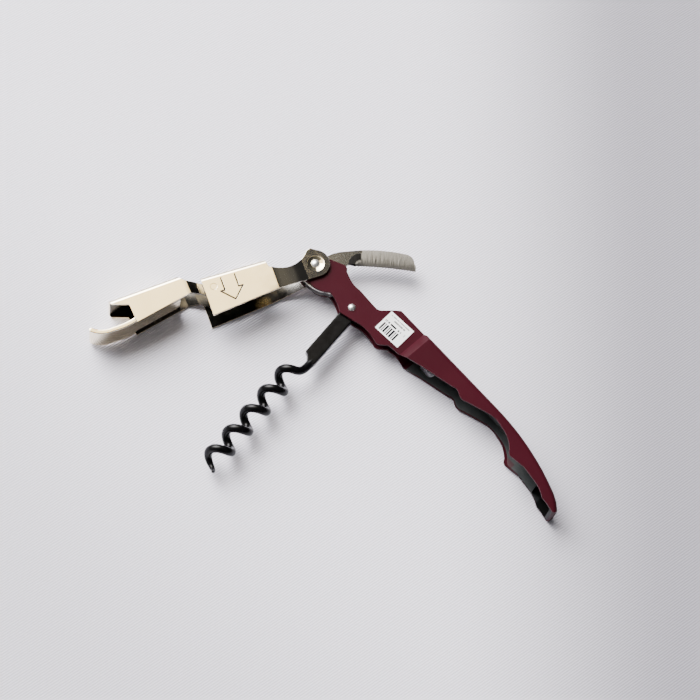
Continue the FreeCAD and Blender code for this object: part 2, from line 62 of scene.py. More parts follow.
# ------------------------------------------------------------------ shader tools
class Shader:
    """Builds one material's node tree."""

    def __init__(self, name):
        self.material = bpy.data.materials.new(name)
        self.material.use_nodes = True
        self.tree = self.material.node_tree
        self.bsdf = self.tree.nodes["Principled BSDF"]
        self.place = self.tree.nodes.new("ShaderNodeTexCoord").outputs["Object"]

    def plug(self, socket, value):
        """Links an output to the socket, or sets the socket to a plain value."""
        if hasattr(value, "is_output"):
            self.tree.links.new(value, socket)
        elif socket.type == "RGBA" and len(value) == 3:
            socket.default_value = (*value, 1.0)
        else:
            socket.default_value = value

    def add(self, kind, inputs=None, **settings):
        """Makes a node with the given settings and inputs."""
        node = self.tree.nodes.new(kind)
        for key, value in settings.items():
            setattr(node, key, value)
        for key, value in (inputs or {}).items():
            self.plug(node.inputs[key], value)
        return node

    def set(self, **values):
        """Sets or links sockets of the shader itself."""
        for key, value in values.items():
            self.plug(self.bsdf.inputs[key.replace("_", " ")], value)

    def math(self, operation, first, second=0.0, clamp=False):
        node = self.add("ShaderNodeMath", {0: first, 1: second}, operation=operation, use_clamp=clamp)
        return node.outputs[0]

    def local(self, arm):
        """Coordinates in an arm's own frame, in millimetres."""
        pivot, turn = ARMS[arm]
        shift = self.add("ShaderNodeVectorMath", {0: self.place, 1: pivot}, operation="SUBTRACT").outputs[0]
        spin = self.add("ShaderNodeVectorRotate", {"Vector": shift, "Angle": -math.radians(turn)},
                        rotation_type="Z_AXIS").outputs[0]
        scaled = self.add("ShaderNodeVectorMath", {0: spin}, operation="SCALE")
        scaled.inputs["Scale"].default_value = PER_MM
        return scaled.outputs[0]

    def flat(self, vector):
        """The vector with its height dropped."""
        return self.add("ShaderNodeVectorMath", {0: vector, 1: (1, 1, 0)}, operation="MULTIPLY").outputs[0]

    def dot(self, first, second):
        node = self.add("ShaderNodeVectorMath", {0: first, 1: second}, operation="DOT_PRODUCT")
        return node.outputs["Value"]

    def parts(self, vector):
        return self.add("ShaderNodeSeparateXYZ", {0: vector}).outputs

    def noise(self, scale, detail=3.0, roughness=0.5, where=None, stretch=None):
        where = where or self.place
        if stretch:
            where = self.add("ShaderNodeMapping", {"Vector": where, "Scale": stretch}).outputs[0]
        node = self.add("ShaderNodeTexNoise", {"Vector": where, "Scale": scale, "Detail": detail,
                                               "Roughness": roughness})
        return node.outputs["Fac"]

    def remap(self, value, low, high, to_low=0.0, to_high=1.0):
        node = self.add("ShaderNodeMapRange", {"Value": value, "From Min": low, "From Max": high,
                                               "To Min": to_low, "To Max": to_high})
        return node.outputs["Result"]

    def ramp(self, value, *stops):
        node = self.add("ShaderNodeValToRGB", {"Fac": value})
        elements = node.color_ramp.elements
        while len(elements) < len(stops):
            elements.new(0.5)
        for element, (position, color) in zip(elements, stops):
            element.position = position
            element.color = (*color, 1.0)
        return node.outputs["Color"]

    def mix(self, share, first, second):
        """A colour from first at share 0 to second at share 1; blend does it for plain numbers."""
        node = self.add("ShaderNodeMix", data_type="RGBA")
        for index, value in ((0, share), (6, first), (7, second)):
            self.plug(node.inputs[index], value)
        return node.outputs[2]

    def blend(self, share, first, second):
        node = self.add("ShaderNodeMix", {0: share, 2: first, 3: second}, data_type="FLOAT")
        return node.outputs[0]

    def bump(self, height, strength, distance, under=None):
        inputs = {"Height": height, "Strength": strength, "Distance": distance}
        if under:
            inputs["Normal"] = under
        return self.add("ShaderNodeBump", inputs).outputs["Normal"]

    def near_line(self, where, start, end, half_width, soft):
        """1 on the line from start to end, falling to 0 over soft; all in the units of where."""
        run = Vector((end[0] - start[0], end[1] - start[1], 0))
        away = self.add("ShaderNodeVectorMath", {0: self.flat(where), 1: (start[0], start[1], 0)},
                        operation="SUBTRACT").outputs[0]
        along = self.dot(away, run / run.length_squared)
        along = self.math("MULTIPLY", along, 1.0, clamp=True)
        foot = self.add("ShaderNodeVectorMath", {0: run}, operation="SCALE")
        self.plug(foot.inputs["Scale"], along)
        gap = self.add("ShaderNodeVectorMath", {0: away, 1: foot.outputs[0]}, operation="DISTANCE")
        return self.remap(gap.outputs["Value"], half_width, half_width + soft, 1.0, 0.0)

    def box_mask(self, x, y, low, high, soft):
        """1 inside the rectangle from low to high."""
        mask = None
        for value, bottom, top in ((x, low[0], high[0]), (y, low[1], high[1])):
            rise = self.remap(value, bottom - soft, bottom + soft)
            fall = self.remap(value, top - soft, top + soft, 1.0, 0.0)
            both = self.math("MULTIPLY", rise, fall)
            mask = both if mask is None else self.math("MULTIPLY", mask, both)
        return mask

    def finish(self, normal):
        self.tree.links.new(normal, self.bsdf.inputs["Normal"])
        return self.material


# ------------------------------------------------------------------ materials
# the folded channel of each lever, mm in the lever's frame: its spine's inner face, and how its
# half gap grows, as (start along, end along, half gap at the start, half gap at the end)
CHANNELS = {"lever": (-4.93, (4.4, 14.4, 2.83, 5.63)), "second": (-7.43, (5.0, 8.5, 4.23, 5.63))}

# the dish pressed around the head rivet: distances from the rivet's centre in mm, and depth in metres
DISH_FLOOR = 1.5
DISH_RIM = 3.1
DISH_DEPTH = 0.00022

# the plain coined arrow on the first lever's upper plate: it points across the lever, and its shaft
# is open at the back; mm in the lever's frame, but its depth in metres
ARROW_TIP = (31.0, 5.4)
ARROW_HEAD_LENGTH = 4.2
ARROW_HEAD_HALF = 4.0
ARROW_SHAFT_LENGTH = 4.6
ARROW_SHAFT_HALF = 2.5
ARROW_LINE = 0.13
ARROW_DEPTH = 0.00012
PLATE_HEIGHT = 6.3


def arrow_outline():
    """One half of the outline from the back to the head, the tip, then the other half mirrored."""
    along, across = ARROW_TIP
    neck = across - ARROW_HEAD_LENGTH
    half = [(ARROW_SHAFT_HALF, neck - ARROW_SHAFT_LENGTH), (ARROW_SHAFT_HALF, neck), (ARROW_HEAD_HALF, neck)]
    left = [(along + reach, y) for reach, y in half]
    right = [(along - reach, y) for reach, y in reversed(half)]
    return left + [ARROW_TIP] + right


def first_lever_hub_shade_and_spot(s, where, inside, tone, rough):
    """Painted shade on the hub around the dish, a duller neck, and a warm spot inside the channel."""
    along, across, _ = s.parts(where)
    from_rivet = s.add("ShaderNodeVectorMath", {0: s.flat(where)}, operation="LENGTH").outputs["Value"]
    mottle = s.remap(s.noise(260, 4), 0.3, 0.6, 0.6, 0.85)
    # painted shade: the hub around the dish is darkened and mottled
    retoned_patch = s.math("MULTIPLY", s.remap(along, 12.0, 7.0), mottle)
    retoned_patch = s.math("MULTIPLY", retoned_patch, s.remap(from_rivet, DISH_RIM - 0.2, DISH_RIM + 0.1))
    tone = s.mix(retoned_patch, tone, (0.42, 0.405, 0.38))
    neck = s.math("MULTIPLY", s.remap(along, 15.5, 14.5), s.remap(along, 6.5, 8.5))
    spot = s.math("MULTIPLY", inside, s.box_mask(along, across, (18.0, 4.0), (22.8, 8.0), 0.9))
    return s.mix(spot, tone, (0.85, 0.66, 0.30)), s.blend(neck, rough, 0.22), from_rivet


def second_lever_neck_shade(s, where, tone):
    """Painted shade: dark, blotchy colour on the neck, beside the hinge."""
    along = s.parts(where)["X"]
    mottle = s.remap(s.noise(170, 3), 0.35, 0.6, 0.45, 1.0)
    return s.mix(s.math("MULTIPLY", s.remap(along, 9.5, 7.0), mottle), tone, (0.085, 0.08, 0.07))


def coined_arrow(s, where):
    """1 along the arrow's outline, on the upper face of the upper plate only."""
    line = None
    outline = arrow_outline()
    for start, end in zip(outline, outline[1:]):
        mask = s.near_line(where, start, end, ARROW_LINE, 0.14)
        line = mask if line is None else s.math("MAXIMUM", line, mask)
    return s.math("MULTIPLY", line, s.math("GREATER_THAN", s.parts(where)["Z"], PLATE_HEIGHT))


def nickel(name, arm=None):
    """Bright nickel plate over stamped steel; rougher inside a folded channel, with painted shade there."""
    s = Shader(name)
    tone = s.ramp(s.noise(140, 4), (0.3, (0.89, 0.79, 0.58)), (0.7, (0.97, 0.87, 0.66)))
    rough = s.remap(s.noise(300, 5, 0.65), 0.35, 0.75, 0.035, 0.11)
    fine = s.bump(s.noise(5200, 2, stretch=(1.0, 0.12, 1.0)), 0.05, 0.00001)
    relief = s.bump(s.noise(45, 1), 0.14, 0.00012, fine)
    if arm:
        spine, half_gap = CHANNELS[arm]
        where = s.local(arm)
        along, across, height = s.parts(where)
        inside = s.math("LESS_THAN", s.math("ABSOLUTE", height), s.remap(along, *half_gap))
        inside = s.math("MULTIPLY", inside, s.math("GREATER_THAN", across, spine))
        # painted shade: dark, mottled colour on the faces inside the folded channel
        channel_shade = s.ramp(s.noise(420, 4), (0.35, (0.030, 0.028, 0.026)), (0.68, (0.10, 0.09, 0.07)))
        tone = s.mix(inside, tone, channel_shade)
        if arm == "lever":
            tone, rough, from_rivet = first_lever_hub_shade_and_spot(s, where, inside, tone, rough)
        else:
            tone = second_lever_neck_shade(s, where, tone)
        rough = s.blend(inside, rough, 0.2)
    if arm == "lever":
        line = coined_arrow(s, where)
        tone = s.mix(line, tone, (0.02, 0.018, 0.016))
        rough = s.blend(line, rough, 0.5)
        relief = s.bump(line, 1.0, -ARROW_DEPTH, relief)
        relief = s.bump(s.remap(from_rivet, DISH_FLOOR, DISH_RIM), 1.0, DISH_DEPTH, relief)
    s.set(Base_Color=tone, Metallic=1.0, Roughness=rough)
    return s.finish(relief)


# the handle's shell, mm in the handle's frame: inside, it takes the liner's tone from BARE_FROM to
# LINER_END and beyond is black, a painted shade in the tail's hollow; its end is rougher from TAIL_FACE
SHELL_HALF_GAP = 4.78
BARE_FROM = 100.0
LINER_END = 111.1
TAIL_FACE = 119.0


def burgundy_paint():
    """Baked satin paint over folded steel, with a painted pink highlight along the edges."""
    s = Shader("burgundy_paint")
    cloud = s.noise(45, 2)
    tone = s.ramp(cloud, (0.25, (0.0270, 0.0027, 0.0060)), (0.75, (0.0340, 0.0036, 0.0078)))
    edge = s.add("ShaderNodeBevel", {"Radius": 0.00022}, samples=4)
    true = s.add("ShaderNodeNewGeometry").outputs["True Normal"]
    turn = s.dot(edge.outputs[0], true)
    # painted highlight: a pinker tone on the rounded edges, broken up by noise
    highlight_breakup = s.remap(s.noise(900, 4), 0.35, 0.6, 0.4, 1.0)
    highlit_edge = s.math("MULTIPLY", s.remap(turn, 0.97, 0.80), highlight_breakup)
    tone = s.mix(s.math("MULTIPLY", highlit_edge, 0.25), tone, (0.16, 0.04, 0.055))
    along, _, height = s.parts(s.local("handle"))
    inner = s.math("LESS_THAN", s.math("ABSOLUTE", height), SHELL_HALF_GAP)
    bare_and_shaded = s.math("MULTIPLY", inner, s.math("GREATER_THAN", along, BARE_FROM))
    # the outer spine and the outer end face away from the channel and stay painted
    turned = arm_matrix("handle").to_3x3()
    outward = [s.dot(true, turned @ Vector(way)) for way in ((1, 0, 0), (0, 1, 0))]
    bare_and_shaded = s.math("MULTIPLY", bare_and_shaded, s.math("LESS_THAN", s.math("MAXIMUM", *outward), 0.3))
    # past LINER_END the inner faces are painted black: painted shade in the tail's hollow
    past_liner = s.remap(along, LINER_END - 0.3, LINER_END + 0.3)
    liner_tone_and_shade = s.ramp(past_liner, (0.0, (0.020, 0.021, 0.022)), (1.0, (0.004, 0.004, 0.004)))
    tone = s.mix(bare_and_shaded, tone, liner_tone_and_shade)
    rough = s.blend(highlit_edge, s.remap(s.noise(500, 4), 0.3, 0.7, 0.34, 0.40), 0.62)
    rough = s.blend(s.math("GREATER_THAN", along, TAIL_FACE), rough, 0.75)
    s.set(Base_Color=tone, Roughness=rough, IOR=1.15)
    return s.finish(s.bump(s.noise(1200, 2), 0.05, 0.00003))


def liner():
    """Dark matt liner, with a reddish patch where the shell narrows."""
    s = Shader("liner")
    tone = s.ramp(s.noise(260, 4), (0.3, (0.018, 0.021, 0.022)), (0.7, (0.030, 0.034, 0.034)))
    along, across, _ = s.parts(s.local("handle"))
    retoned_patch = s.box_mask(along, across, (93.4, 1.0), (96.8, 4.6), 0.25)
    tone = s.mix(retoned_patch, tone, (0.030, 0.004, 0.007))
    s.set(Base_Color=tone, Roughness=s.remap(s.noise(800, 3), 0.3, 0.7, 0.45, 0.65))
    return s.finish(s.bump(s.noise(3000, 3), 0.25, 0.00003))


def black_coating():
    """Satin non-stick coating, faintly grained."""
    s = Shader("black_coating")
    tone = s.ramp(s.noise(500, 4), (0.3, (0.0012, 0.0012, 0.0014)), (0.7, (0.0026, 0.0026, 0.0030)))
    s.set(Base_Color=tone, Roughness=s.remap(s.noise(700, 4), 0.3, 0.7, 0.20, 0.27), IOR=1.25)
    return s.finish(s.bump(s.noise(2600, 2), 0.04, 0.00002))


def steel(name, low, high, rough_low, rough_high):
    """Plain steel between two tones and two roughnesses."""
    s = Shader(name)
    tone = s.ramp(s.noise(600, 4), (0.3, low), (0.7, high))
    s.set(Base_Color=tone, Metallic=1.0, Roughness=s.remap(s.noise(900, 5), 0.3, 0.7, rough_low, rough_high))
    return s.finish(s.bump(s.noise(3800, 3), 0.15, 0.00002))


def spring_steel():
    """Steel strip with painted shade on its side and a painted highlight along its two rims."""
    s = Shader("spring_steel")
    height = s.math("ABSOLUTE", s.parts(s.local("handle"))["Z"])
    side_shade = s.ramp(s.noise(500, 4), (0.3, (0.020, 0.020, 0.019)), (0.7, (0.050, 0.048, 0.044)))
    # painted shade on the flat side, painted highlight on the two rims
    tone = s.mix(s.remap(height, 1.25, 1.4), side_shade, (0.86, 0.82, 0.74))
    s.set(Base_Color=tone, Metallic=1.0, Roughness=s.remap(s.noise(900, 4), 0.3, 0.7, 0.16, 0.26))
    return s.finish(s.bump(s.noise(3000, 3), 0.1, 0.00002))


def blade_steel():
    """Polished root, a painted dark reflection in the hollow where the grind starts on an arc, then a cross-ground
    blade.
    """
    s = Shader("blade_steel")
    where = s.local("knife")
    along, across, _ = s.parts(where)
    centre, radius = circle_through((11.4, 2.6), (12.7, 5.4), (15.0, 6.7))
    gap = s.add("ShaderNodeVectorMath", {0: s.flat(where), 1: (centre[0], centre[1], 0)},
                operation="DISTANCE").outputs["Value"]
    past = s.remap(along, centre[0] - 0.2, centre[0] + 0.2)
    blade = s.math("MAXIMUM", s.remap(gap, radius + 0.2, radius - 0.2), past)
    ground = s.math("MAXIMUM", s.remap(gap, radius - 2.4, radius - 3.0), s.remap(along, 15.6, 16.2))
    hollow_shade = s.math("SUBTRACT", blade, ground, clamp=True)
    grind = s.noise(1.6, 4, 0.6, where, (7.0, 0.22, 0.2))
    tone = s.ramp(grind, (0.2, (0.25, 0.24, 0.215)), (0.8, (0.34, 0.325, 0.295)))
    polished = s.ramp(s.noise(300, 3), (0.3, (0.30, 0.30, 0.29)), (0.7, (0.36, 0.355, 0.34)))
    # painted dark reflection: the band where the grind starts is near black
    tone = s.mix(s.math("MULTIPLY", hollow_shade, 0.96), s.mix(blade, polished, tone), (0.006, 0.006, 0.007))
    s.set(Base_Color=tone, Metallic=1.0, Roughness=s.blend(blade, 0.14, s.remap(grind, 0.3, 0.7, 0.24, 0.4)))
    return s.finish(s.bump(grind, s.math("MULTIPLY", blade, 0.15), 0.00002))


def circle_through(a, b, c):
    """Centre and radius of the circle through three points."""
    d = 2 * (a[0] * (b[1] - c[1]) + b[0] * (c[1] - a[1]) + c[0] * (a[1] - b[1]))
    squares = [p[0] ** 2 + p[1] ** 2 for p in (a, b, c)]
    x = (squares[0] * (b[1] - c[1]) + squares[1] * (c[1] - a[1]) + squares[2] * (a[1] - b[1])) / d
    y = (squares[0] * (c[0] - b[0]) + squares[1] * (a[0] - c[0]) + squares[2] * (b[0] - a[0])) / d
    return (x, y), math.hypot(a[0] - x, a[1] - y)


def label_paper():
    """White coated paper with plain printed bars and rules, and no lettering."""
    s = Shader("label_paper")
    moved = s.add("ShaderNodeVectorMath", {0: s.local("handle"), 1: LABEL_CORNER},
                  operation="SUBTRACT").outputs[0]
    flat = s.add("ShaderNodeVectorRotate", {"Vector": moved, "Angle": -math.radians(LABEL_TURN)},
                 rotation_type="Z_AXIS").outputs[0]
    x, y, _ = s.parts(flat)
    ink = None
    bar = BARS_START
    for width, space in BARS:
        mask = s.box_mask(x, y, (bar, BARS_LOW), (bar + width, BARS_HIGH), 0.03)
        ink = mask if ink is None else s.math("MAXIMUM", ink, mask)
        bar += width + space
    words = s.remap(s.noise(1.0, 1, 0.6, flat, (2.6, 0.3, 0.1)), 0.36, 0.46)
    for low, high, weight in RULES:
        rule = s.math("MULTIPLY", s.math("MULTIPLY", s.box_mask(x, y, low, high, 0.06), words), weight)
        ink = s.math("MAXIMUM", ink, rule)
    paper = s.ramp(s.noise(900, 4), (0.3, (0.90, 0.90, 0.90)), (0.7, (0.95, 0.95, 0.94)))
    s.set(Base_Color=s.mix(ink, paper, (0.002, 0.002, 0.003)), Roughness=0.5, Specular_IOR_Level=0.1)
    return s.finish(s.bump(s.noise(2400, 4), 0.2, 0.00002))


# the label's own frame: its corner in the handle's frame, mm, and its turn from the handle, degrees
LABEL_CORNER = (30.5, -0.1, 0)
LABEL_TURN = 4.0

# printed rules as (low corner, high corner, darkness), mm from the label's corner
RULES = (((0.7, 4.35), (5.6, 5.05), 1.0), ((6.4, 4.35), (7.8, 5.05), 1.0), ((3.2, 6.1), (8.2, 6.7), 0.85),
         ((1.0, 7.3), (9.2, 7.7), 0.8), ((9.1, 4.2), (9.5, 5.3), 0.5))

# printed bars, mm: where they start, how low and high they reach, and each width with the space after it
BARS_START = 1.0
BARS_LOW = 0.6
BARS_HIGH = 3.9
BARS = ((0.62, 0.30), (0.34, 0.30), (0.74, 0.32), (0.36, 0.30), (0.60, 0.34), (0.78, 0.30), (0.36, 0.32),
        (0.66, 0.30))

MATERIALS = {
    "burgundy_paint": burgundy_paint(),
    "liner": liner(),
    "nickel": nickel("nickel"),
    "rivet_steel": steel("rivet_steel", (0.84, 0.83, 0.81), (0.92, 0.91, 0.89), 0.32, 0.44),
    "spring_steel": spring_steel(),
    "blade_steel": blade_steel(),
    "black_coating": black_coating(),
    "label_paper": label_paper(),
}

# nodes whose material isn't simply their slot's
SPECIAL = {
    "first_lever": nickel("nickel_with_arrow", "lever"),
    "second_lever": nickel("nickel_second_lever", "second"),
    "link_pin": MATERIALS["nickel"],
}

# radius of the softened edges, mm, for the nodes where it isn't EDGE_RADIUS
EDGE = {"handle_shell": 0.36, "price_label": 0.02, "opener_tongue": 0.32, "first_lever": 0.28,
        "second_lever": 0.28, "leaf_spring": 0.25}
EDGE_RADIUS = 0.12

# edges sharper than this are rounded, and faces nearer to flat than this are joined, degrees
SHARPER_THAN = 35
FLAT_WITHIN = 0.3

# corners closer than this are joined, mm
WELD_REACH = 0.002

# two nodes that pieces made here stand in for, and a pin whose ends lie flush
LEFT_SHARP = ("worm", "knife_blade", "link_pin")


def even_normals(piece):
    """Keeps large flats flat where they meet a softened edge."""
    normals = piece.modifiers.new("even_normals", "WEIGHTED_NORMAL")
    normals.weight = 100
    normals.keep_sharp = True


def soften_node(node, radius):
    """Joins the CAD mesh's split corners, clears its flats of spare edges, and rounds its sharp edges."""
    weld = node.modifiers.new("weld", "WELD")
    weld.merge_threshold = WELD_REACH * MM
    flats = node.modifiers.new("flats", "DECIMATE")
    flats.decimate_type = "DISSOLVE"
    flats.angle_limit = math.radians(FLAT_WITHIN)
    bevel = node.modifiers.new("bevel", "BEVEL")
    bevel.width = radius * MM
    bevel.segments = 3
    bevel.limit_method = "ANGLE"
    bevel.angle_limit = math.radians(SHARPER_THAN)
    even_normals(node)


def finish_nodes():
    """Gives every CAD node its material, and softens the edges of its sheet metal."""
    for part in frame["record"]["subparts"]:
        name = part["node"]
        node = NODES[name]
        node.data.materials.clear()
        node.data.materials.append(SPECIAL.get(name, MATERIALS[part["material_slot"]]))
        if name not in LEFT_SHARP:
            soften_node(node, EDGE.get(name, EDGE_RADIUS))


# ------------------------------------------------------------------ pieces made here
def mesh_piece(name, bm, arm, body, material, node, crease=30):
    """Makes an object of a mesh drawn in an arm's frame in mm, and rides it on a body in a node's place."""
    bmesh.ops.recalc_face_normals(bm, faces=bm.faces)
    mesh = bpy.data.meshes.new(name)
    bm.to_mesh(mesh)
    bm.free()
    mesh.transform(arm_matrix(arm) @ Matrix.Scale(MM, 4))
    for polygon in mesh.polygons:
        polygon.use_smooth = True
    mesh.set_sharp_from_angle(angle=math.radians(crease))
    mesh.materials.append(material)
    piece = bpy.data.objects.new(name, mesh)
    bpy.context.scene.collection.objects.link(piece)
    even_normals(piece)
    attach(piece, body)
    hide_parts(node)


# the worm, mm and turns, in its own frame: X runs from the rivet to the tip; the wire thins over the
# last TIP_TURNS to a share TIP_SHARE of its radius, and the coil draws in by a share TIP_INWARD
COIL_AXIS = -1.8
COIL_START = 29.0
COIL_RADIUS = 2.9
COIL_PITCH = 9.35
COIL_TURNS = 5.05
TURN_STEPS = 30
JOIN_TURN = 0.16
TIP_TURNS = 0.55
TIP_SHARE = 0.07
TIP_INWARD = 0.12
WIRE = 1.48
RING = 20

# the shank, mm: flat, with a round end at the rivet and a shoulder where the wire leaves it; the wire
# starts inside it at WIRE_ROOT_AT along, and bends from WIRE_EXIT_AT on
WIRE_EXIT = 1.45
WIRE_EXIT_AT = 23.4
WIRE_ROOT_AT = 21.0
EXIT_PULL = 2.6
EXIT_STEPS = 12
SHANK_HALF = 1.46
SHANK_EDGE = 0.38
SHANK_OUTLINE = [(0.0, -2.35), (22.4, -2.4), (22.9, -1.3), (23.9, -0.5), (24.9, 0.3),
                 (25.6, 1.2), (25.5, 2.1), (24.6, 2.8), (23.6, 3.0), (0.0, 3.0)]
SHANK_BOW = (2.597, 2.675)
SHANK_MIDDLE = 0.325
BOW_STEPS = 10


def worm_line():
    """Centre line of the wire as (point, radius): out of the shank, over into the helix, to a point."""
    coil = []
    steps = int((COIL_TURNS - JOIN_TURN) * TURN_STEPS)
    for n in range(steps + 1):
        turn = JOIN_TURN + (COIL_TURNS - JOIN_TURN) * n / steps
        angle = 2 * math.pi * turn
        left = min(1.0, (COIL_TURNS - turn) / TIP_TURNS)
        reach = COIL_RADIUS * (1.0 - TIP_INWARD * (1 - left) ** 2)
        point = Vector((COIL_START + COIL_PITCH * turn, COIL_AXIS + reach * math.cos(angle),
                        reach * math.sin(angle)))
        coil.append((point, WIRE * (TIP_SHARE + (1 - TIP_SHARE) * left ** 0.6)))
    # a cubic curve leads the wire from the shank into the helix
    start = Vector((WIRE_EXIT_AT, WIRE_EXIT, 0))
    target = coil[0][0]
    heading = (coil[1][0] - target).normalized()
    handles = (start, start + Vector((EXIT_PULL, 0, 0)), target - heading * EXIT_PULL, target)
    line = [(Vector((WIRE_ROOT_AT, WIRE_EXIT, 0)), WIRE)]
    for k in range(EXIT_STEPS):
        t = k / EXIT_STEPS
        shares = ((1 - t) ** 3, 3 * t * (1 - t) ** 2, 3 * t * t * (1 - t), t ** 3)
        line.append((sum((h * w for h, w in zip(handles, shares)), Vector()), WIRE))
    return line + coil


def wire_mesh(bm, line):
    """A round tube of changing radius along the line."""
    rings = []
    side = Vector((0, 0, 1))
    for index, (point, radius) in enumerate(line):
        before = line[max(index - 1, 0)][0]
        after = line[min(index + 1, len(line) - 1)][0]
        heading = (after - before).normalized()
        side = (side - heading * side.dot(heading)).normalized()
        other = heading.cross(side)
        ring = []
        for k in range(RING):
            angle = 2 * math.pi * k / RING
            ring.append(bm.verts.new(point + (side * math.cos(angle) + other * math.sin(angle)) * radius))
        rings.append(ring)
    for first, second in zip(rings, rings[1:]):
        for k in range(RING):
            bm.faces.new((first[k], first[(k + 1) % RING], second[(k + 1) % RING], second[k]))
    bm.faces.new(reversed(rings[0]))
    bm.faces.new(rings[-1])


def make_worm():
    """The worm: a tube along its centre line, and the flat shank it grows out of."""
    bm = bmesh.new()
    wire_mesh(bm, worm_line())
    bow = []
    for k in range(1, BOW_STEPS):
        angle = math.radians(90 + 180 * k / BOW_STEPS)
        bow.append((SHANK_BOW[0] * math.cos(angle), SHANK_MIDDLE + SHANK_BOW[1] * math.sin(angle)))
    shank = bmesh.new()
    prism(shank, SHANK_OUTLINE + bow, SHANK_HALF)
    soften(shank, SHANK_EDGE)
    mesh = bpy.data.meshes.new("shank_part")
    shank.to_mesh(mesh)
    shank.free()
    bm.from_mesh(mesh)
    mesh_piece("worm_spiral", bm, "worm", "worm", MATERIALS["black_coating"], "worm")


def prism(bm, outline, half):
    """A flat plate with the given outline, half to each side of the middle plane."""
    low = [bm.verts.new((x, y, -half)) for x, y in outline]
    high = [bm.verts.new((x, y, half)) for x, y in outline]
    bm.faces.new(reversed(low))
    bm.faces.new(high)
    count = len(outline)
    for k in range(count):
        bm.faces.new((low[k], low[(k + 1) % count], high[(k + 1) % count], high[k]))


def soften(bm, width):
    """Rounds every edge where two faces meet at more than 30 degrees."""
    bm.normal_update()
    edges = [e for e in bm.edges if len(e.link_faces) == 2 and e.calc_face_angle(0) > math.radians(30)]
    bmesh.ops.bevel(bm, geom=edges, offset=width, segments=3, profile=0.5, affect="EDGES", clamp_overlap=True)


def arc_points(a, b, c, count):
    """Points after a, up to and with c, on the arc through a, b and c."""
    centre, radius = circle_through(a, b, c)
    angles = [math.atan2(p[1] - centre[1], p[0] - centre[0]) for p in (a, b, c)]
    span = (angles[2] - angles[0]) % (2 * math.pi)
    if (angles[1] - angles[0]) % (2 * math.pi) > span:
        span -= 2 * math.pi
    return [(centre[0] + radius * math.cos(angles[0] + span * k / count),
             centre[1] + radius * math.sin(angles[0] + span * k / count)) for k in range(1, count + 1)]


# the knife, mm in its own frame: X runs from the head rivet towards the tip
KNIFE_HALF = 0.6
EDGE_HALF = 0.07
TEETH = 22
TOOTH_POINTS = 5
TOOTH_HEIGHT = 0.24
EDGE_START = 14.2
EDGE_END = 35.2
EDGE_LEVEL = 1.75
EDGE_HOLLOW = 0.35
GRIND_END = 34.7
GRIND_LEVEL = 2.35
GRIND_HEIGHT = 1.7

# the rest of its outline, from the tip round the back and the tang, as arcs:
# a point on the way, the arc's end, and the number of steps
KNIFE_TIP = (35.2, 3.2)
KNIFE_ARCS = (((35.0, 3.95), (34.6, 4.6), 3), ((33.5, 7.0), (31.4, 7.9), 6), ((21.0, 8.3), (10.5, 6.8), 14),
              ((6.5, 5.7), (3.0, 3.6), 8), ((-1.0, 3.5), (-3.2, 1.6), 8), ((-2.6, -2.4), (2.4, -2.6), 12),
              ((6.4, -1.4), (10.9, 1.2), 8), ((11.4, 1.9), (12.3, 2.2), 3))


def knife_edge():
    """The toothed edge and, above it, the line where the grind ends."""
    edge = []
    grind = []
    for k in range(TEETH * TOOTH_POINTS + 1):
        share = k / (TEETH * TOOTH_POINTS)
        hollow = EDGE_HOLLOW * math.sin(math.pi * share)
        scallop = TOOTH_HEIGHT * math.sin(math.pi * ((k % TOOTH_POINTS) / TOOTH_POINTS))
        edge.append((EDGE_START + (EDGE_END - EDGE_START) * share, EDGE_LEVEL + hollow + scallop))
        rise = GRIND_HEIGHT * min(1.0, share * 7.0 + 0.1)
        grind.append((EDGE_START + (GRIND_END - EDGE_START) * share, GRIND_LEVEL + rise))
    return edge, grind


def make_knife():
    """Knife with a shallow concave, finely toothed edge ground from both sides."""
    edge, grind = knife_edge()
    back = [KNIFE_TIP]
    for middle, end, steps in KNIFE_ARCS:
        back += arc_points(back[-1], middle, end, steps)
    bm = bmesh.new()
    sides = {}
    for sign in (1, -1):
        low = [bm.verts.new((x, y, sign * EDGE_HALF)) for x, y in edge]
        high = [bm.verts.new((x, y, sign * KNIFE_HALF)) for x, y in grind]
        for k in range(len(edge) - 1):
            bm.faces.new((low[k], low[k + 1], high[k + 1], high[k]))
        highlit_edge = [bm.verts.new((x, y, sign * KNIFE_HALF)) for x, y in back]
        bm.faces.new(high + highlit_edge)
        bm.faces.new((low[-1], highlit_edge[0], high[-1]))
        bm.faces.new((low[0], high[0], highlit_edge[-1]))
        sides[sign] = low + highlit_edge
    top, bottom = sides[1], sides[-1]
    count = len(top)
    for k in range(count):
        bm.faces.new((top[k], top[(k + 1) % count], bottom[(k + 1) % count], bottom[k]))
    bmesh.ops.triangulate(bm, faces=[f for f in bm.faces if len(f.verts) > 4])
    mesh_piece("foil_knife", bm, "knife", "knife", MATERIALS["blade_steel"], "knife_blade", 25)


# ------------------------------------------------------------------ stage
# the floor: half its side in metres; its ribs' turn in degrees, their wave scale, and their height in
# metres; and the colour of the painted shade on its darker sides
FLOOR_REACH = 1.6
RIB_TURN = 39.5
RIB_SCALE = 383.0
RIB_HEIGHT = 0.00032
SHADE = (0.20, 0.194, 0.225)


def fade(s, way, start, end):
    """0 before start and 1 past end, in metres along the given way, eased at both."""
    node = s.add("ShaderNodeMapRange", {"Value": s.dot(s.place, way), "From Min": start, "From Max": end},
                 interpolation_type="SMOOTHSTEP")
    return node.outputs["Result"]


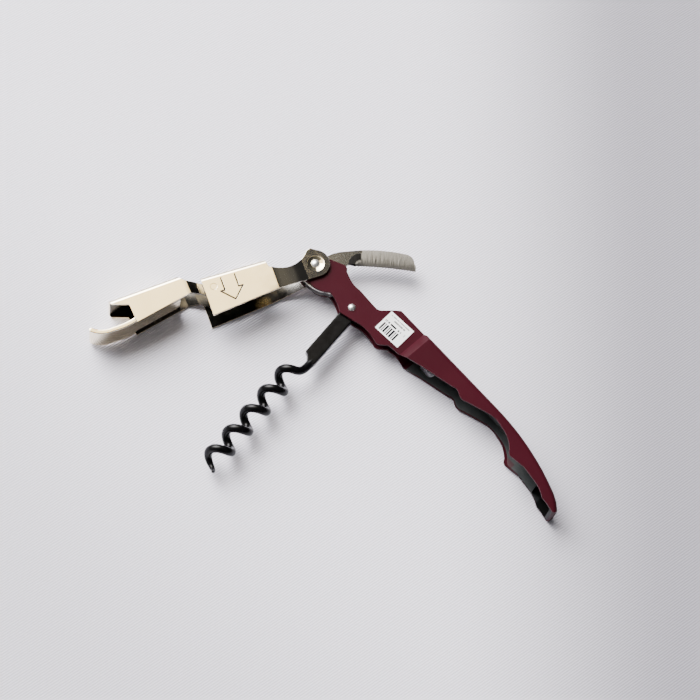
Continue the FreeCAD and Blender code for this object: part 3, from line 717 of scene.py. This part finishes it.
def make_floor():
    """Ribbed pale paper, with painted shade towards the right and towards the near left corner."""
    mesh = bpy.data.meshes.new("floor")
    corners = [(x * FLOOR_REACH, y * FLOOR_REACH, 0) for x, y in ((-1, -1), (1, -1), (1, 1), (-1, 1))]
    mesh.from_pydata(corners, [], [(0, 1, 2, 3)])
    floor = bpy.data.objects.new("floor", mesh)
    bpy.context.scene.collection.objects.link(floor)
    s = Shader("floor_paper")
    slanted = s.add("ShaderNodeVectorRotate", {"Vector": s.place, "Angle": math.radians(RIB_TURN)},
                    rotation_type="Z_AXIS").outputs[0]
    wave = s.add("ShaderNodeTexWave", {"Vector": slanted, "Scale": RIB_SCALE, "Distortion": 0.8,
                                       "Detail": 2.0, "Detail Scale": 2.0}, wave_type="BANDS",
                 bands_direction="X")
    ribs = wave.outputs["Fac"]
    tone = s.ramp(s.noise(900, 3), (0.3, (0.850, 0.830, 0.925)), (0.7, (0.880, 0.860, 0.955)))
    tone = s.mix(s.math("MULTIPLY", ribs, 0.22), tone, (0.50, 0.49, 0.55))
    # painted shade: darker towards the right and towards the near left corner
    to_the_right = fade(s, (0.96, 0.28, 0.0), 0.025, 0.115)
    tone = s.mix(s.math("MULTIPLY", to_the_right, 0.8), tone, SHADE)
    to_the_corner = fade(s, (-0.6, -0.8, 0.0), 0.02, 0.14)
    tone = s.mix(s.math("MULTIPLY", to_the_corner, 0.3), tone, SHADE)
    s.set(Base_Color=tone, Roughness=0.8)
    mesh.materials.append(s.finish(s.bump(ribs, 0.5, RIB_HEIGHT)))


def area_light(name, location, target, size, power, color, spread):
    """A rectangular light, in metres and watts, aimed at a target."""
    data = bpy.data.lights.new(name, "AREA")
    data.shape = "RECTANGLE"
    data.size, data.size_y = size
    data.energy = power
    data.color = color
    data.spread = math.radians(spread)
    light = bpy.data.objects.new(name, data)
    bpy.context.scene.collection.objects.link(light)
    light.location = location
    light.rotation_euler = (Vector(target) - Vector(location)).to_track_quat("-Z", "Y").to_euler()


# the camera: degrees above the table and of roll; target and distance in mm; lens in mm on a 36 mm sensor
CAMERA_ELEVATION = 68
CAMERA_ROLL = 16.4
CAMERA_TARGET = (1.45, 11.07, 0.0)
CAMERA_DISTANCE = 755
CAMERA_LENS = 112.6


def make_camera():
    """Looks down steeply at the table from in front, rolled a little."""
    elevation = math.radians(CAMERA_ELEVATION)
    roll = math.radians(CAMERA_ROLL)
    target = Vector(CAMERA_TARGET) * MM
    distance = CAMERA_DISTANCE * MM
    back = Vector((0, -math.cos(elevation), math.sin(elevation)))
    level = Vector((1, 0, 0))
    upright = back.cross(level)
    right = level * math.cos(roll) + upright * math.sin(roll)
    up = upright * math.cos(roll) - level * math.sin(roll)
    data = bpy.data.cameras.new("camera")
    data.lens = CAMERA_LENS
    data.sensor_width = 36.0
    data.clip_start = 0.01
    camera = bpy.data.objects.new("camera", data)
    camera.matrix_world = Matrix.Translation(target + back * distance) @ Matrix(
        (right, up, back)).transposed().to_4x4()
    bpy.context.scene.collection.objects.link(camera)
    bpy.context.scene.camera = camera


# the room: brightness runs along the world's X, from a pale left to a dim right
ROOM_BRIGHT_AT = -0.95
ROOM_DIM_AT = 0.55
ROOM_DIM_UNTIL = 0.26
ROOM_DIM = (0.05, 0.05, 0.052, 1)
ROOM_BRIGHT = (0.62, 0.60, 0.58, 1)
ROOM_STRENGTH = 0.95


def make_world():
    """A room lit from the left: pale on that side, dim on the other."""
    world = bpy.data.worlds.new("room")
    world.use_nodes = True
    tree = world.node_tree
    background = tree.nodes["Background"]
    coords = tree.nodes.new("ShaderNodeTexCoord")
    split = tree.nodes.new("ShaderNodeSeparateXYZ")
    ramp = tree.nodes.new("ShaderNodeValToRGB")
    tree.links.new(coords.outputs["Generated"], split.inputs[0])
    share = tree.nodes.new("ShaderNodeMapRange")
    share.inputs["From Min"].default_value = ROOM_DIM_AT
    share.inputs["From Max"].default_value = ROOM_BRIGHT_AT
    tree.links.new(split.outputs["X"], share.inputs["Value"])
    tree.links.new(share.outputs["Result"], ramp.inputs["Fac"])
    ramp.color_ramp.elements[0].position = ROOM_DIM_UNTIL
    ramp.color_ramp.elements[0].color = ROOM_DIM
    ramp.color_ramp.elements[1].color = ROOM_BRIGHT
    tree.links.new(ramp.outputs["Color"], background.inputs["Color"])
    background.inputs["Strength"].default_value = ROOM_STRENGTH
    bpy.context.scene.world = world


# name, place and target in metres, size in metres, watts, colour, spread in degrees
LIGHTS = (
    ("window", (-0.62, 0.42, 0.60), (-0.10, 0.03, 0), (1.0, 0.9), 13.5, (1.0, 0.985, 0.985), 70),
    ("ceiling", (-0.18, 0.31, 0.75), (-0.18, 0.30, 0.0), (0.24, 0.24), 0.66, (1.0, 0.82, 0.50), 180),
    ("fill", (0.55, -0.35, 0.7), (0, 0, 0), (0.5, 0.5), 0.3, (0.95, 0.96, 1.0), 180),
)

finish_nodes()
make_worm()
make_knife()
make_floor()
make_camera()
make_world()
for light in LIGHTS:
    area_light(*light)
